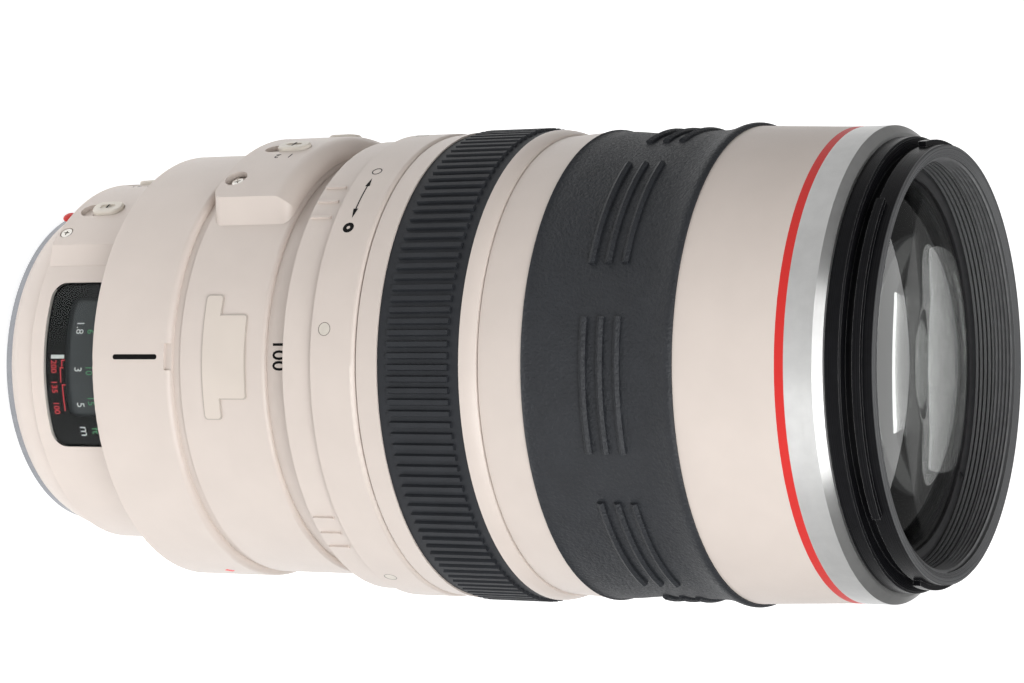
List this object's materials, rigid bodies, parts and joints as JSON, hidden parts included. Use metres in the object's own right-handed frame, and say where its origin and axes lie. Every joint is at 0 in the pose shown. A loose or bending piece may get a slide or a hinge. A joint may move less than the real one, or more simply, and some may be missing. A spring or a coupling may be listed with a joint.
{
  "type": "push-pull telephoto zoom lens",
  "caption": "Off-white push-pull telephoto zoom lens with sliding front unit, tension ring, ribbed focus ring, distance window, switch panels, collar seat and bayonet mount.",
  "frame": {"origin": "centre of the mount flange's rear face, on the optical axis", "axes": "+Z along the optical axis towards the front of the lens, -Y is the top with the index and the distance window, -X is the side with the switches"},
  "size_m": [0.0931, 0.0924, 0.1945],
  "materials": {
    "chrome": "polished chromed brass",
    "steel": "plain steel",
    "gold": "gold plated",
    "black_plastic": "black plastic",
    "board": "green circuit board",
    "cream": "warm off-white enamel",
    "black_metal": "black anodised",
    "dark_metal": "matt black anodised",
    "silver": "satin silver paint",
    "red": "red paint",
    "rubber": "grained black rubber",
    "clear": "clear pane",
    "lens": "coated glass",
    "felt": "felt",
    "cream_knob": "off-white plastic",
    "ceramic": "piezo ceramic and elastic ring"
  },
  "bodies": {
    "barrel": {"mount_flange": "chrome", "mount_screws": "steel", "contact_block": "black_plastic", "contact_pins": "gold", "rear_ring": "cream", "circuit_board": "board", "main_barrel": "cream", "window_pane": "clear", "focus_unit_base": "dark_metal", "motor_stator": "ceramic", "focus_switch_panel": "cream", "panel_screws": "steel", "collar_seat": "cream", "stabiliser_barrel": "cream", "stabiliser_panel": "cream", "scale_barrel": "cream", "guide_tube": "dark_metal", "cam_retaining_ring": "dark_metal", "stabiliser_base": "dark_metal", "iris_housing": "black_plastic", "rear_cell": "dark_metal", "rear_lens": "lens"},
    "distance_drum": {"distance_drum": "black_metal"},
    "motor_rotor": {"motor_rotor": "ceramic"},
    "focus_mode_knob": {"focus_mode_knob": "cream_knob"},
    "distance_limit_knob": {"distance_limit_knob": "cream_knob"},
    "stabiliser_mode_knob": {"stabiliser_mode_knob": "cream_knob"},
    "stabiliser_power_knob": {"stabiliser_power_knob": "cream_knob"},
    "cam_tube": {"cam_tube": "dark_metal"},
    "zoom_group": {"variator_cell": "dark_metal", "variator_lens": "lens"},
    "focus_group": {"focus_cell": "dark_metal", "focus_lens": "lens"},
    "iris_ring": {"iris_ring": "black_plastic"},
    "iris_blade_1": {"iris_blade_1": "dark_metal"},
    "iris_blade_2": {"iris_blade_2": "dark_metal"},
    "iris_blade_3": {"iris_blade_3": "dark_metal"},
    "iris_blade_4": {"iris_blade_4": "dark_metal"},
    "iris_blade_5": {"iris_blade_5": "dark_metal"},
    "iris_blade_6": {"iris_blade_6": "dark_metal"},
    "stabiliser_rod": {"stabiliser_rod": "steel"},
    "stabiliser_cell": {"stabiliser_cell": "black_plastic", "stabiliser_lens": "lens"},
    "front_unit": {"zoom_sleeve": "dark_metal", "friction_band": "felt", "key_sleeve": "dark_metal", "guide_keys": "steel", "grip_barrel": "cream", "zoom_rubber": "rubber", "red_ring": "red", "name_ring": "silver", "filter_ring": "black_metal", "front_cell": "black_metal", "front_doublet": "lens", "front_lens": "lens", "front_retaining_ring": "black_metal"},
    "tension_ring": {"tension_ring": "cream", "tension_screws": "cream_knob"},
    "focus_ring": {"focus_ring": "cream", "focus_rubber": "rubber"}
  },
  "joints": [
    {"name": "zoom_slide", "type": "slide", "parent": "barrel", "child": "front_unit", "axis": [0, 0, 1], "range_m": [0, 0.07]},
    {"name": "tension_turn", "type": "hinge", "parent": "front_unit", "child": "tension_ring", "pos_m": [0, 0, 0.08], "axis": [0, 0, 1], "range_deg": [0, 45]},
    {"name": "focus_turn", "type": "hinge", "parent": "front_unit", "child": "focus_ring", "pos_m": [0, 0, 0.1], "axis": [0, 0, -1], "range_deg": [0, 120]},
    {"name": "distance_drum_turn", "type": "hinge", "parent": "barrel", "child": "distance_drum", "pos_m": [0, 0, 0.02], "axis": [0, 0, -1], "range_deg": [0, 40]},
    {"name": "motor_rotor_turn", "type": "hinge", "parent": "barrel", "child": "motor_rotor", "pos_m": [0, 0, 0.016], "axis": [0, 0, -1], "range_deg": [0, 40]},
    {"name": "focus_group_slide", "type": "slide", "parent": "barrel", "child": "focus_group", "axis": [0, 0, 1], "range_m": [0, 0.008]},
    {"name": "cam_turn", "type": "hinge", "parent": "barrel", "child": "cam_tube", "pos_m": [0, 0, 0.1], "axis": [0, 0, 1], "range_deg": [0, 60]},
    {"name": "zoom_group_slide", "type": "slide", "parent": "barrel", "child": "zoom_group", "axis": [0, 0, 1], "range_m": [0, 0.024]},
    {"name": "iris_ring_turn", "type": "hinge", "parent": "barrel", "child": "iris_ring", "pos_m": [0, 0, 0.05], "axis": [0, 0, 1], "range_deg": [0, 28]},
    {"name": "iris_blade_1_turn", "type": "hinge", "parent": "barrel", "child": "iris_blade_1", "pos_m": [0.0271, 0, 0.048], "axis": [0, 0, 1], "range_deg": [0, 28]},
    {"name": "iris_blade_2_turn", "type": "hinge", "parent": "barrel", "child": "iris_blade_2", "pos_m": [0.01355, 0.02347, 0.048], "axis": [0, 0, 1], "range_deg": [0, 28]},
    {"name": "iris_blade_3_turn", "type": "hinge", "parent": "barrel", "child": "iris_blade_3", "pos_m": [-0.01355, 0.02347, 0.048], "axis": [0, 0, 1], "range_deg": [0, 28]},
    {"name": "iris_blade_4_turn", "type": "hinge", "parent": "barrel", "child": "iris_blade_4", "pos_m": [-0.0271, 0, 0.048], "axis": [0, 0, 1], "range_deg": [0, 28]},
    {"name": "iris_blade_5_turn", "type": "hinge", "parent": "barrel", "child": "iris_blade_5", "pos_m": [-0.01355, -0.02347, 0.048], "axis": [0, 0, 1], "range_deg": [0, 28]},
    {"name": "iris_blade_6_turn", "type": "hinge", "parent": "barrel", "child": "iris_blade_6", "pos_m": [0.01355, -0.02347, 0.048], "axis": [0, 0, 1], "range_deg": [0, 28]},
    {"name": "stabiliser_sideways", "type": "slide", "parent": "barrel", "child": "stabiliser_rod", "axis": [1, 0, 0], "range_m": [-0.0012, 0.0012]},
    {"name": "stabiliser_up_down", "type": "slide", "parent": "stabiliser_rod", "child": "stabiliser_cell", "axis": [0, 1, 0], "range_m": [-0.0012, 0.0012]},
    {"name": "focus_mode_knob_slide", "type": "slide", "parent": "barrel", "child": "focus_mode_knob", "axis": [0, 0, -1], "range_m": [0, 0.003]},
    {"name": "distance_limit_knob_slide", "type": "slide", "parent": "barrel", "child": "distance_limit_knob", "axis": [0, 0, -1], "range_m": [0, 0.003]},
    {"name": "stabiliser_mode_knob_slide", "type": "slide", "parent": "barrel", "child": "stabiliser_mode_knob", "axis": [0, 0, -1], "range_m": [0, 0.003]},
    {"name": "stabiliser_power_knob_slide", "type": "slide", "parent": "barrel", "child": "stabiliser_power_knob", "axis": [0, 0, -1], "range_m": [0, 0.003]}
  ],
  "couplings": [
    {"joint": "distance_drum_turn", "follows": "focus_turn", "ratio": 0.33333},
    {"joint": "motor_rotor_turn", "follows": "focus_turn", "ratio": 0.33333},
    {"joint": "focus_group_slide", "follows": "focus_turn", "m_per_rad": 0.0038197},
    {"joint": "cam_turn", "follows": "zoom_slide", "rad_per_m": 14.96},
    {"joint": "zoom_group_slide", "follows": "zoom_slide", "ratio": 0.34286},
    {"joint": "iris_blade_1_turn", "follows": "iris_ring_turn", "ratio": 1},
    {"joint": "iris_blade_2_turn", "follows": "iris_ring_turn", "ratio": 1},
    {"joint": "iris_blade_3_turn", "follows": "iris_ring_turn", "ratio": 1},
    {"joint": "iris_blade_4_turn", "follows": "iris_ring_turn", "ratio": 1},
    {"joint": "iris_blade_5_turn", "follows": "iris_ring_turn", "ratio": 1},
    {"joint": "iris_blade_6_turn", "follows": "iris_ring_turn", "ratio": 1}
  ]
}
